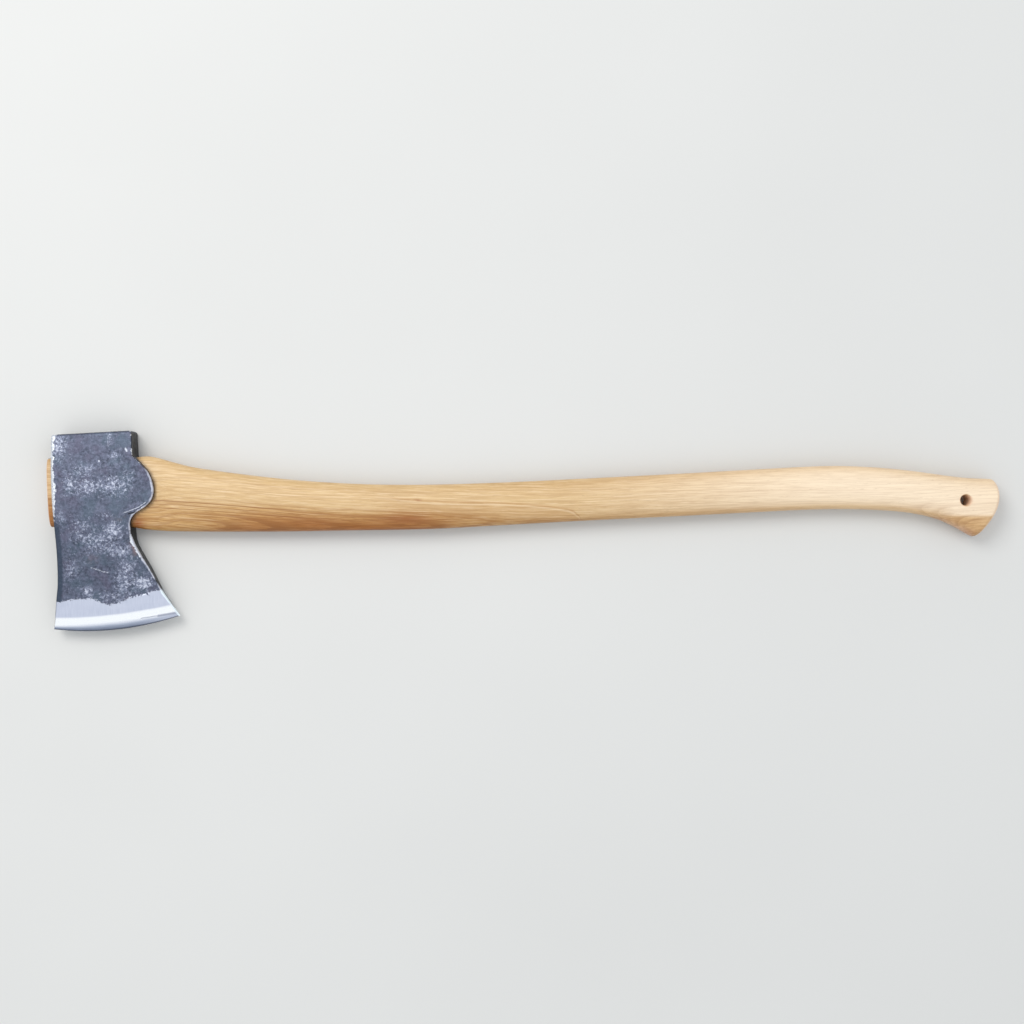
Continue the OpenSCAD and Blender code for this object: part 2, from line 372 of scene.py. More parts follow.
# Rusty patches: x, y, half width, half height, strength
RUST = [
    (74.5, -46, 3.5, 7, 1.2), (77, -55, 2.5, 5, 0.7), (36, -62, 8, 5, 0.25), (64, -24, 6, 3, 0.3),
]

# Marks in the cheeks: points, half width, depth, and tone from dark -1 to bright 1
UPPER_MARKS = [
    # The crease by the lug: a painted highlight above it, and a dark line painted along its groove
    ([(66, -19), (72.5, -16.8), (81, -13.4), (87, -9)], 0.5, 0.05, 0.6),
    ([(71, -19.8), (75, -18.8), (79, -18)], 0.7, 0.3, -1.0),
    ([(34.5, -70), (41, -71.9), (46, -73.8), (51.5, -74.7)], 0.42, 0.1, 0.7),
    ([(68.2, 41), (69.4, 38.8)], 0.8, 0.25, 1.0),
    ([(43.4, 29.6), (44, 29.2)], 0.7, 0.15, 0.8),
    ([(51.8, 54), (51.4, 49), (52.2, 43)], 0.4, 0.06, 0.4),
    ([(80, -117.6), (101, -114.3), (115, -111.6)], 0.5, 0.0, -0.35),
    ([(96, -115.3), (106, -113.6), (115, -112)], 1.3, 0.0, -0.35),
]
LOWER_MARKS = [
    ([(22, -52), (36, -55), (44, -60)], 0.5, 0.12, 0.9),
    ([(60, -24), (72, -22)], 0.7, 0.3, -0.8),
    ([(30, 36), (33, 30)], 0.8, 0.2, 0.9),
]


def front_x(s):
    return curve(FRONT_LINE, s * FRONT_HEIGHT)


def back_x(s):
    return curve(BACK_LINE, s * BACK_HEIGHT)


def bow(across):
    return 4 * across * (1 - across)


def bevel_tops(across):
    """Heights over the edge where its two bevels end."""
    return (EDGE_BEVEL + EDGE_BEVEL_BOW * bow(across),
            GROUND_BEVEL + GROUND_BEVEL_BOW * bow(across))


def ground_half(up, across):
    """Half thickness of the ground bevels, carried on above the line where they end."""
    first, second = bevel_tops(across)
    shoulder, top = [share * HEAD_THICKNESS / 2 for _, share in CHEEK_LINE[:2]]
    slope = (top - shoulder) / (GROUND_LINE - GROUND_BEVEL)
    middle_slope = (shoulder - EDGE_BEVEL_HALF) / (GROUND_BEVEL - EDGE_BEVEL)
    first_half = EDGE_BEVEL_HALF + middle_slope * (first - EDGE_BEVEL)
    second_half = shoulder + slope * (second - GROUND_BEVEL)
    edge = mix(EDGE_HALF, first_half, up / first)
    middle = mix(first_half, second_half, (up - first) / (second - first))
    upper = shoulder + slope * (up - GROUND_BEVEL)
    return np.where(up < first, edge, np.where(up < second, middle, upper))


def cheek_half(up):
    """Half thickness of the forging over the ground part."""
    return np.minimum(1, curve(CHEEK_LINE, up)) * HEAD_THICKNESS / 2


def plain_half(up, across):
    """Half thickness of the head before its surface is roughened."""
    return np.where(up < GROUND_LINE, ground_half(up, across), cheek_half(up))


def head_ring(up):
    """One slice of the head at a height over its edge.

    A point is x, y, z, then its place from the front 0 to the back 1, its distances from
    the front and the back corners of the slice, and the height.
    """
    s = 1 - up / FRONT_HEIGHT
    inside = max(POLL_ROUND - (FRONT_HEIGHT - up), 0)
    tuck = POLL_ROUND - np.sqrt(POLL_ROUND ** 2 - inside ** 2)
    half = float(plain_half(up, 0)) - tuck
    x0 = front_x(s) + 0.35 * tuck
    x1 = back_x(s) - tuck
    r0 = min(float(curve([(0, 1.2), (40, 2.2), (90, 2.6), (182, 2.8)], up)), half * 0.8)
    r1 = min(float(curve([(0, 1.0), (60, 1.8), (182, 1.4)], up)), half * 0.8)

    def quarter(x, z, r, start):
        a = np.radians(start + 90 * np.arange(CORNER + 1) / CORNER)
        return np.stack([x + r * np.cos(a), z + r * np.sin(a)], axis=1)

    def row(xa, za, xb, zb, shares):
        return np.stack([mix(xa, xb, shares), mix(za, zb, shares)], axis=1)

    inner = np.arange(1, ACROSS) / ACROSS
    ends = (np.arange(SIDE) + 0.5) / SIDE
    top = half - r1
    front_top = half - r0
    outline = np.concatenate([
        row(x1, 0, x1, top, ends),
        quarter(x1 - r1, top, r1, 0),
        row(x1 - r1, half, x0 + r0, half, inner),
        quarter(x0 + r0, front_top, r0, 90),
        row(x0, front_top, x0, 0, ends),
        row(x0, 0, x0, -front_top, ends),
        quarter(x0 + r0, -front_top, r0, 180),
        row(x0 + r0, -half, x1 - r1, -half, inner),
        quarter(x1 - r1, -top, r1, 270),
        row(x1, -top, x1, 0, ends),
    ])
    x, z = outline.T
    across = np.clip((x - front_x(s)) / (back_x(s) - front_x(s)), 0, 1)
    y = mix(POLL_FRONT_Y - s * FRONT_HEIGHT, POLL_BACK_Y - s * BACK_HEIGHT, across)
    y = y - EDGE_SAG * max(0, 2 * s - 1) ** 1.6 * bow(across)
    below = half - np.abs(z)
    return np.stack([x, y, z, across, x - x0 + below, x1 - x + below, np.full(len(x), up)], axis=1)


def dents(points, count, seed):
    """Depth of shallow hammer dents over the head, apart on its two sides."""
    rng = np.random.default_rng(seed)
    total = np.zeros(len(points))
    for _ in range(count):
        centre = (rng.uniform(0, 95), rng.uniform(-100, 52))
        side = rng.choice([-1, 1])
        radius = rng.uniform(5, 13)
        depth = rng.uniform(0.08, 0.32)
        away = np.hypot(points[:, 0] - centre[0], points[:, 1] - centre[1]) / radius
        same_side = points[:, 2] * side > 0
        total += np.where(same_side, depth * np.clip(1 - away ** 2, 0, 1) ** 2, 0)
    return total


def patches(x, y, table):
    """Strength at the points of soft patches: x, y, half width, half height, strength."""
    total = np.zeros(len(x))
    for px, py, width, height, strength in table:
        away = ((x - px) / width) ** 2 + ((y - py) / height) ** 2
        total += strength * np.exp(-away)
    return total


def near_line(x, y, line):
    """Distance of the points from a line through a few points."""
    nearest = np.full(len(x), 1e9)
    for (ax, ay), (bx, by) in zip(line[:-1], line[1:]):
        dx, dy = bx - ax, by - ay
        t = np.clip(((x - ax) * dx + (y - ay) * dy) / (dx * dx + dy * dy), 0, 1)
        nearest = np.minimum(nearest, np.hypot(x - ax - t * dx, y - ay - t * dy))
    return nearest


def scratches(count, seed):
    """Faint straight scratches, as marks."""
    rng = np.random.default_rng(seed)
    table = []
    for _ in range(count):
        x, y = rng.uniform(6, 86), rng.uniform(-94, 50)
        angle = rng.normal(0.2, 0.8)
        long = rng.uniform(2, 9)
        end = (x + long * np.cos(angle), y + long * np.sin(angle))
        table.append(([(x, y), end], 0.35, 0.03, rng.uniform(0.15, 0.4)))
    return table


def cut_marks(x, y, table):
    """Depth and tone of the marks at the points."""
    depth = np.zeros(len(x))
    tone = np.zeros(len(x))
    for line, half_width, deep, shade in table:
        share = np.exp(-(near_line(x, y, line) / half_width) ** 2)
        depth = np.maximum(depth, deep * share)
        tone = np.where(np.abs(shade * share) > np.abs(tone), shade * share, tone)
    return depth, tone


def head_grid():
    """All slices of the head, from the middle of the poll's face down to the edge."""
    heights = np.concatenate([
        FRONT_HEIGHT - POLL_ROUND * (1 - np.cos(np.radians(np.arange(0, 90, 9)))),
        np.linspace(FRONT_HEIGHT - POLL_ROUND, 36, 180),
        np.linspace(35.4, 0, 64),
    ])
    slices = np.array([head_ring(up) for up in heights])
    shares = np.linspace(0.05, 0.95, 14)
    face = shrunk(slices[0], shares)
    face[:, :, 4:6] = slices[0, :, 4:6] + (1 - shares)[:, None, None] * 12
    return np.concatenate([face, slices])


def ground_share(points, is_upper, across, up):
    """How far a point is inside the ragged limit of the grinding."""
    reach = np.where(is_upper, curve(UPPER_REACH, across), curve(LOWER_REACH, across))
    ragged = 0.7 * lumps(points, 4.2, 8) + 0.45 * lumps(points, 1.8, 9)
    return reach - up + ragged


def face_marks(x, y, is_upper, flatness):
    """Depth and tone of the marks and scratches on the two cheeks."""
    upper = cut_marks(x, y, UPPER_MARKS + scratches(26, 31))
    lower = cut_marks(x, y, LOWER_MARKS + scratches(30, 32))
    return [np.where(is_upper, a, b) * flatness for a, b in zip(upper, lower)]


def corner_wear(points, near_front, near_back):
    """Bare metal along the corners, and the painted highlight along the back ones."""
    y = points[:, 1]
    ease = 1 + 0.35 * lumps(points, 7, 12) + 0.25 * lumps(points, 2.4, 13)
    front_bare = curve(FRONT_WORN, y) * ease - near_front
    back_bare = curve(BACK_WORN, y) * ease - near_back
    bare = np.clip(np.maximum(front_bare, back_bare) / 2.4 + 0.5, 0, 1)
    arris_highlight = rise((curve(BACK_ARRIS_HIGHLIGHT, y) * ease - near_back) / 0.8)
    return bare, arris_highlight


def roughened(points, normals, is_ground, across, up, flatness, mark_depth):
    """The head's points with the ground facets cut in and the forged skin made uneven."""
    x, y, z = points.T
    plain = plain_half(up, 0)
    scale_skin = SKIN * (1 - is_ground) * rise((SKIN_TOP - up) / 14)
    ground = ground_half(up, across)
    forged = np.minimum(cheek_half(up), ground) + scale_skin
    aim = mix(forged, ground, is_ground)
    aim = np.where(up < SKIN_TOP, aim, plain)
    z = z * aim / plain
    rough = 0.10 * lumps(points, 30, 3) + 0.09 * lumps(points, 11, 4)
    rough += 0.05 * lumps(points, 3.4, 5) + 0.03 * lumps(points, 1.5, 7)
    rough -= 0.06 + dents(points, 150, 6) + mark_depth
    rough *= (1 - is_ground) * mix(0.6, 1, flatness) * rise(up / 30)
    half = HEAD_THICKNESS / 2
    moved = np.stack([x, y, z], axis=1) + normals * rough[:, None]
    moved[:, 2] = np.clip(moved[:, 2], -half, half)
    return moved


def make_head():
    """The forging with its eye, and the values that its steel is painted by."""
    grid = head_grid()
    shape = grid.shape[:2]
    normals = grid_normals(grid[:, :, :3]).reshape(-1, 3)
    x, y, z, across, near_front, near_back, up = grid.reshape(-1, 7).T
    points = np.stack([x, y, z], axis=1)
    is_upper = z > 0
    flatness = rise((np.abs(normals[:, 2]) - 0.5) / 0.3)
    grind = ground_share(points, is_upper, across, up)
    is_ground = np.clip(grind + 0.5, 0, 1)
    mark_depth, mark = face_marks(x, y, is_upper, flatness)
    moved = roughened(points, normals, is_ground, across, up, flatness, mark_depth)

    bare, arris_highlight = corner_wear(points, near_front, near_back)
    # Painted shade along the rounded front corner of the bit, weaker on the lower cheek
    strip = rise((-22 - y) / 12) * rise((6.6 - near_front) / 2.4) * np.where(is_upper, 1, 0.6)
    first, second = bevel_tops(across)
    looks = {
        "grind": grind,
        "band": np.where(up < first, up / first, 1 + (up - first) / (second - first)),
        "wear": np.where(is_upper, patches(x, y, UPPER_WEAR), patches(x, y, LOWER_WEAR)),
        "bare": bare, "mark": mark, "strip": strip, "flatness": flatness, "arris_highlight": arris_highlight,
        "rust": patches(x, y, RUST),
        "across": across,
        "butt": rise((normals[:, 1] - 0.4) / 0.4),
    }
    looks = {name: value.reshape(shape) for name, value in looks.items()}
    head = tube("axe_head_forged", moved.reshape(*shape, 3), looks, pole_end=False)
    cut(head, make_eye_tool())
    smooth(head, 50)
    return head


# A place clear behind the lug
PAST_LUG = 104.0
# Points around the eye, the haft and the hanging hole
EYE_AROUND = 160
AROUND = 128
HOLE_AROUND = 72


def make_eye_tool():
    """The eye's hole: the tongue's section with a hair of clearance and eased mouths.

    Its last ring is flat and stands clear of the lug, so that nothing is left in the eye.
    """
    y, z = squircle(EYE_AROUND, EYE_POWER)
    front = front_x((POLL_FRONT_Y - y * HALF_TOP) / FRONT_HEIGHT)
    back = back_x((POLL_BACK_Y - y * HALF_TOP) / BACK_HEIGHT)
    eased = [(-4, 1.1), (0, 0.9), (0.25, 0.55), (0.7, 0.25), (1.3, 0.1)]
    stations = [(front + t, gap) for t, gap in eased]
    stations += [(mix(front, back, share), 0.1) for share in (0.3, 0.6, 0.85)]
    stations += [(back - t, gap) for t, gap in reversed(eased)]
    stations.append((np.full(EYE_AROUND, PAST_LUG), eased[0][1]))
    rings = [np.stack([x, y * (HALF_TOP + gap), z * (eye_half(x) + gap)], axis=1)
             for x, gap in stations]
    return tube("eye_tool", np.array(rings)[:, ::-1])


# ---- haft ----

def haft_half(x):
    return np.where(x < NECK, eye_half(x), curve(HALF_LINE, x))


def haft_power(x):
    return np.where(x < NECK, EYE_POWER, curve(POWER_LINE, x))


def section_ends(x):
    """Ends of the section at x on the upper and on the lower outline."""
    turn = rise((x - 770) / 100)
    upper_x = x + KNOB_TOP_LEAN * turn
    lower_x = x - KNOB_TIP_LEAN * turn
    skew = TONGUE_SKEW * rise(-x / TONGUE_PROUD)
    upper = np.array([upper_x, float(curve(UPPER_LINE, upper_x))])
    lower = np.array([lower_x + skew, float(curve(LOWER_LINE, lower_x))])
    return upper, lower


def haft_ring(x, inset=0.0, forward=0.0, scale=1.0):
    """One section of the haft, shrunk by inset or scale and pushed along its normal."""
    upper, lower = section_ends(x)
    reach = np.linalg.norm(upper - lower) / 2
    normal = np.array([upper[1] - lower[1], lower[0] - upper[0]]) / (2 * reach)
    y, z = squircle(AROUND, float(haft_power(x)))
    c = y * (1 - inset / reach) * scale
    bulge = KNOB_BULGE * rise((x - 790) / 80) * (1 - c * c) * (1 + 0.35 * c)
    plan = ((upper + lower) / 2 + c[:, None] * (upper - lower) / 2
            + (bulge + forward)[:, None] * normal)
    return np.stack([plan[:, 0], plan[:, 1], z * (float(haft_half(x)) - inset) * scale], axis=1)


TONGUE_ROUND = 1.3
# Rings that close an end, rings of the tongue's rim, and rings from there past the wedge
CAP_RINGS = 9
RIM_RINGS = 7
WEDGE_RINGS = 20


def haft_rings():
    """All sections of the haft, from the sawn end of the tongue to the domed knob."""
    scales = np.linspace(0.06, 0.95, CAP_RINGS)
    rings = [haft_ring(-TONGUE_PROUD, inset=TONGUE_ROUND, scale=s) for s in scales]
    for a in np.radians(np.linspace(0, 90, RIM_RINGS)):
        rings.append(haft_ring(TONGUE_ROUND * (1 - np.cos(a)) - TONGUE_PROUD,
                               inset=TONGUE_ROUND * (1 - np.sin(a))))
    stations = np.concatenate([
        np.arange(-2.2, 100, 3.2), np.arange(100, 180, 2.5), np.arange(180, 700, 5),
        np.arange(700, KNOB_STATION - 1, 2.5),
    ])
    rings += [haft_ring(x) for x in stations]
    for a in np.radians(np.arange(0, 91, 10)):
        rings.append(haft_ring(KNOB_STATION, inset=KNOB_ROUND * (1 - np.cos(a)),
                               forward=KNOB_ROUND * np.sin(a)))
    for s in scales[::-1]:
        rings.append(haft_ring(KNOB_STATION, inset=KNOB_ROUND, scale=s,
                               forward=KNOB_ROUND + 0.5 * (1 - s * s)))
    return np.array(rings)


# Corners of a square, and the faces of a block that has one at each end
SQUARE = ((-1, -1), (1, -1), (1, 1), (-1, 1))
BLOCK_FACES = [
    (1, 2, 3, 0), (7, 6, 5, 4), (4, 5, 1, 0), (5, 6, 2, 1), (6, 7, 3, 2), (7, 4, 0, 3),
]


def wedge_blank(name, gap):
    """The wedge's taper, wider than the tongue, or its kerf if gap is over zero."""
    x0, x1 = -TONGUE_PROUD - 3, WEDGE_DEPTH
    h0, h1 = WEDGE_THICKNESS / 2 + gap, WEDGE_TIP / 2 + gap
    y = HALF_TOP + 6
    points = [(x, sy * y, sz * h) for x, h in ((x0, h0), (x1, h1)) for sy, sz in SQUARE]
    return make_object(name, points, BLOCK_FACES)


def bar(name, low, high, gap, taper=1.0):
    """A box turned with the staple, whose far end in X is narrowed by taper."""
    low = np.array(low, float) - gap
    high = np.array(high, float) + gap
    middle = (low + high) / 2
    c, s = np.cos(STAPLE_ANGLE), np.sin(STAPLE_ANGLE)
    points = []
    for x, narrow in ((low[0], 1.0), (high[0], taper)):
        for sy, sz in SQUARE:
            y = middle[1] + sy * (high[1] - low[1]) / 2 * narrow
            z = middle[2] + sz * (high[2] - low[2]) / 2 * narrow
            points.append((x, y * c - z * s, y * s + z * c))
    return make_object(name, points, BLOCK_FACES)


def staple_bars(gap=0.0):
    """The staple's crown and its three legs, as separate solids."""
    face = -TONGUE_PROUD + TONGUE_SKEW / 2
    half, long = STAPLE_WIDTH / 2, STAPLE_LENGTH / 2
    thin = half - LEG_INSET
    bars = [bar("crown", (face, -long, -half), (face + STAPLE_SINK, long, half), gap)]
    for leg in (-1, 0, 1):
        y = leg * (long - half)
        bars.append(bar(f"leg{leg}", (face + 0.5, y - thin, -thin),
                        (face + STAPLE_DEPTH, y + thin, thin), gap, LEG_TAPER))
    return bars


def make_staple():
    """The staple: a crown with rounded corners, and legs that are a little thinner."""
    crown, *legs = staple_bars()
    rounding = crown.modifiers.new("round", "BEVEL")
    rounding.width = STAPLE_ROUND * MM
    rounding.segments = 3
    for leg in legs:
        cut(crown, leg, "UNION")
    crown.name = "staple_nail"
    smooth(crown, 60)
    return crown


def hole_tool():
    """The hanging hole: a drilled bore with eased rims."""
    middle = KNOB_STATION - HOLE_BACK
    half = float(haft_half(middle))
    profile = [(half + 3, 8.6), (half, 6.3), (half - 0.6, 5.7), (half - 1.4, 5.2),
               (half - 2.4, HOLE_RADIUS)]
    profile += [(-z, r) for z, r in reversed(profile)]
    a = 2 * np.pi * np.arange(HOLE_AROUND) / HOLE_AROUND
    x, y = np.cos(a), np.sin(a)
    rings = [np.stack([middle + r * x, HOLE_Y + r * y, np.full(HOLE_AROUND, z)], axis=1)
             for z, r in profile]
    return tube("hole_tool", np.array(rings)[:, ::-1])


# The line that the haft's grain follows
GRAIN_LINE = [
    (-20, 1), (95, -1), (240, -11), (390, -15.5), (470, -16.5), (590, -13), (690, -10),
    (800, -9.5), (880, -6.5),
]
# Dark growth rings by the head: place across the grain and half width
DARK_LINES = [(-6.0, 0.7), (-9.2, 0.35), (-12.6, 0.65)]
# How brown the heartwood is along the haft
HEART_SHARE = [
    (-10, 0.8), (60, 0.42), (110, 0.3), (150, 0.4), (200, 0.74), (330, 0.92), (380, 0.66),
    (430, 0.44), (520, 0.4), (620, 0.28), (760, 0.15), (825, 0.24), (845, 0.3), (880, 0.28),
]
# The upper rim of a long pointed figure in the grain, on each side of the haft
FIGURE_LINE = [
    (240, -1), (300, -4), (328, -7.4), (351, -9.2), (409, -10.3), (444, -12.4), (472, -15.6),
    (486, -19.5), (494, -30), (500, -60),
]
# The figure on the lower side is turned about the middle of this length
FIGURE_TURN = 740
# Where the flare of the knob begins
FOOT = 825
# Dark stains and small knots, and painted shade along the knob's lower flank: x, y, half length,
# half height, strength
STAINS_AND_SHADE = [
    (-6, 0, 5, 60, 0.35), (78, -29, 6, 6, 1.5), (172, -33, 32, 4, 0.5), (238, -27, 22, 5, 0.5),
    (332, -25, 22, 4.5, 0.9), (340, -7, 1.4, 0.9, 1.2), (596, -9, 0.9, 1.2, 0.9),
    # (826, -26), (840, -33) and (851, -39) are painted shade along the knob's lower flank
    (322, -23, 26, 6, 0.4), (572, 3, 1.6, 0.8, 0.5), (826, -26, 12, 4, 0.7), (840, -33, 9, 4, 0.6),
    (851, -39, 9, 5, 1.1),
]


def paint_wood(obj):
    """Gives a wooden piece the values that its grain, wear, stains and painted shade are painted
    by.
    """
    mesh = obj.data
    count = len(mesh.vertices)
    points = np.zeros(count * 3)
    mesh.vertices.foreach_get("co", points)
    normals = np.zeros(count * 3)
    mesh.vertex_normals.foreach_get("vector", normals)
    nx, ny, nz = normals.reshape(-1, 3).T
    x, y, z = ((points.reshape(-1, 3) - np.array(EYE)) / MM).T
    past_head = x - back_x((POLL_BACK_Y - y) / BACK_HEIGHT)
    from_hole = np.hypot(x - KNOB_STATION + HOLE_BACK, y - HOLE_Y)
    # Painted shade over the lower part of the hanging hole's bore
    hole_shade = rise((HOLE_RADIUS + 0.4 - from_hole) / 0.3)
    hole_shade = hole_shade * rise((6.5 - z) / 1.5) * rise((z + 12) / 2)
    figure_x = np.where(z > 0, x, FIGURE_TURN - x)
    past_foot = rise((x - FOOT) / 15)
    below = rise((-19 - y) / 5)
    end = rise((np.abs(nx) - 0.2) / 0.5)
    slope = np.clip((1 - np.abs(nz)) / 0.3, 0, 1)
    # Painted shade on the haft's sloping faces, strongest on the lower side, together with
    # handling wear that grows towards the knob
    grip = rise((x - 380) / 220)
    handling_and_shade = slope * np.where(ny < 0, mix(0.45, 1, grip), 0.55 * grip)
    # More painted shade on the knob's lower flank
    handling_and_shade += 0.8 * past_foot * below
    set_values(mesh, {
        "across": y - curve(GRAIN_LINE, x),
        "figure": np.clip(curve(FIGURE_LINE, figure_x) - y, -8, 40),
        "figured": rise((figure_x - 285) / 45),
        "end": end,
        "handling_and_shade": np.clip(handling_and_shade, 0, 1) * (1 - end),
        # Darker in a thin line beside the head's back side, and painted shade in the hole
        "head_line_and_hole_shade": np.maximum(0.75 * rise(1 - past_head / 3) * (x > 40), hole_shade),
        "heart": curve(HEART_SHARE, x) * mix(1, below, past_foot),
        "stain_and_shade": patches(x, y, STAINS_AND_SHADE),
    })


def make_haft():
    """The haft with its kerf, its hanging hole and the staple's slots."""
    haft = tube("haft_carved", haft_rings())
    cut(haft, wedge_blank("kerf", KERF_GAP))
    cut(haft, hole_tool())
    for piece in staple_bars(gap=SLOT_GAP):
        cut(haft, piece)
    smooth(haft, 35)
    paint_wood(haft)
    return haft


def make_wedge():
    """The wedge: the front of the tongue's shape, cut down to the taper of the kerf."""
    rings = haft_rings()[:CAP_RINGS + RIM_RINGS + WEDGE_RINGS]
    wedge = tube("eye_wedge_driven", rings)
    cut(wedge, wedge_blank("blank", 0.0), "INTERSECT")
    for piece in staple_bars(gap=SLOT_GAP):
        cut(wedge, piece)
    smooth(wedge, 35)
    paint_wood(wedge)
    return wedge


# ---- materials ----

class Shader:
    """The nodes of one material. An input is a number, a tuple or another node's output."""

    def __init__(self, name):
        self.material = bpy.data.materials.new(name)
        self.material.use_nodes = True
        self.tree = self.material.node_tree
        self.tree.nodes.clear()
        place = self.add("TexCoord", output="Object")
        self.place = self.vector("SCALE", place, Scale=1 / MM)

    def add(self, kind, inputs=None, output=0, **settings):
        node = self.tree.nodes.new("ShaderNode" + kind)
        for key, value in settings.items():
            setattr(node, key, value)
        for key, value in (inputs or {}).items():
            if isinstance(value, bpy.types.NodeSocket):
                self.tree.links.new(value, node.inputs[key])
            else:
                node.inputs[key].default_value = value
        return node.outputs[output] if node.outputs else None

    def math(self, operation, a, b=0.0):
        return self.add("Math", {0: a, 1: b}, operation=operation)

    def vector(self, operation, a, b=(0, 0, 0), **inputs):
        return self.add("VectorMath", {0: a, 1: b, **inputs}, operation=operation)

    def times(self, a, b):
        return self.math("MULTIPLY", a, b)

    def plus(self, a, b):
        return self.math("ADD", a, b)

    def minus(self, a, b):
        return self.math("SUBTRACT", a, b)

    def step(self, value, low, high, out_low=0.0, out_high=1.0):
        """Rises smoothly from out_low to out_high as value goes from low to high."""
        return self.add("MapRange", {
            "Value": value, "From Min": low, "From Max": high,
            "To Min": out_low, "To Max": out_high,
        }, interpolation_type="SMOOTHSTEP")

    def noise(self, size, detail, rough, seed, place=None, warp=0.0):
        """Noise from 0 to 1 in lumps of a size in millimetres, or of a size along each axis."""
        sizes = (size, size, size) if np.isscalar(size) else size
        spot = self.vector("MULTIPLY", place or self.place, tuple(1 / v for v in sizes))
        spot = self.vector("ADD", spot, (seed * 7.3, seed * 3.1, seed * 5.7))
        return self.add("TexNoise", {
            "Vector": spot, "Scale": 1.0, "Detail": detail, "Roughness": rough,
            "Distortion": warp,
        })

    def blend(self, share, a, b, mode="MIX"):
        return self.add("Mix", {"Factor": share, 6: a, 7: b}, output=2,
                        data_type="RGBA", blend_type=mode)

    def value(self, name):
        return self.add("Attribute", output="Fac", attribute_name=name)

    def bump(self, height, strength, distance):
        return self.add("Bump", {
            "Height": height, "Strength": strength, "Distance": distance * MM,
        })

    def finish(self, **inputs):
        named = {key.replace("_", " "): value for key, value in inputs.items()}
        surface = self.add("BsdfPrincipled", named)
        self.add("OutputMaterial", {"Surface": surface})
        return self.material


def rgb(r, g, b):
    """A display colour from 0 to 255 as the linear colour that a shader takes."""
    v = np.array([r, g, b]) / 255
    linear = np.where(v <= 0.04045, v / 12.92, ((v + 0.055) / 1.055) ** 2.4)
    return (*linear.tolist(), 1.0)


def skin_tone(sh, mottle, fine, wear):
    """The forging's dark skin, tinted blue and violet, and grainier where it is worn."""
    broad = sh.noise(24, 3, 0.5, 3)
    tint = sh.noise(15, 3, 0.5, 4)
    tone = sh.blend(sh.step(mottle, 0.36, 0.64), rgb(58, 63, 80), rgb(100, 106, 127))
    tone = sh.blend(sh.step(broad, 0.4, 0.62, 0, 0.35), tone, rgb(102, 108, 128))
    tone = sh.blend(sh.step(tint, 0.5, 0.66, 0, 0.4), tone, rgb(74, 94, 108))
    tone = sh.blend(sh.step(tint, 0.48, 0.34, 0, 0.4), tone, rgb(94, 88, 110))
    grainy = sh.step(wear, -0.4, 0.9, 0.12, 0.6)
    tone = sh.blend(sh.times(sh.step(fine, 0.5, 0.68), grainy), tone, rgb(134, 140, 162))
    return sh.blend(sh.times(sh.step(fine, 0.46, 0.32), grainy), tone, rgb(42, 46, 58))


def worn_tone(sh, tone, wear, fleck, worn):
    """Haze, flecks and specks of brighter metal in the worn patches, and some rust."""
    speck = sh.step(sh.noise(1.7, 2, 0.5, 12), 0.62, 0.68)
    speck = sh.times(speck, sh.step(wear, 0.05, 0.7, 0.05, 0.6))
    hazy = sh.plus(wear, sh.times(sh.minus(fleck, 0.5), 3.0))
    tone = sh.blend(sh.step(hazy, 0.2, 1.5, 0, 0.45), tone, rgb(140, 147, 169))
    tone = sh.blend(sh.step(worn, 0.51, 0.61, 0, 0.6), tone, rgb(146, 152, 174))
    tone = sh.blend(sh.step(worn, 0.60, 0.70, 0, 0.85), tone, rgb(204, 208, 222))
    tone = sh.blend(speck, tone, rgb(206, 211, 226))
    spotty = sh.step(sh.noise(6, 6, 0.7, 6), 0.4, 0.6)
    return sh.blend(sh.times(sh.times(sh.value("rust"), spotty), 0.6), tone, rgb(142, 108, 98))


def corner_tone(sh, tone, mottle, fine, chipped):
    """Sides painted near black as shade over dark scale, a strip of painted shade, bare corners,
    the painted highlight along the back corner and the marks.
    """
    # Faces that turn away from the cheeks are painted near black: painted shade over darker scale,
    # less on the struck butt face
    dark_scale_and_side_shade = sh.blend(sh.step(mottle, 0.4, 0.64), rgb(15, 16, 18), rgb(36, 38, 43))
    struck = sh.step(sh.value("butt"), 0.3, 0.9, 1.0, 0.45)
    side = sh.step(sh.value("flatness"), 0.75, 0.2)
    tone = sh.blend(sh.times(side, struck), tone, dark_scale_and_side_shade)
    # Painted shade, bluish, along the rounded front corner
    tone = sh.blend(sh.times(sh.value("strip"), 0.75), tone, rgb(40, 56, 74))
    bare_tone = sh.blend(sh.step(fine, 0.35, 0.6), rgb(176, 182, 194), rgb(240, 242, 246))
    tone = sh.blend(sh.times(chipped, 0.95), tone, bare_tone)
    # A painted highlight along the back corner, broken up by the mottle
    arris_glint = sh.times(sh.value("arris_highlight"), sh.step(mottle, 0.3, 0.55, 0.45, 0.9))
    tone = sh.blend(arris_glint, tone, rgb(206, 208, 222))
    # Bright and dark marks; the bright line above the crease is a painted highlight
    broken = sh.times(sh.value("mark"), sh.step(fine, 0.3, 0.55, 0.3, 1.0))
    tone = sh.blend(sh.step(broken, 0.1, 0.7, 0, 0.9), tone, rgb(214, 218, 230))
    return sh.blend(sh.step(broken, -0.1, -0.6, 0, 0.9), tone, rgb(24, 26, 34))


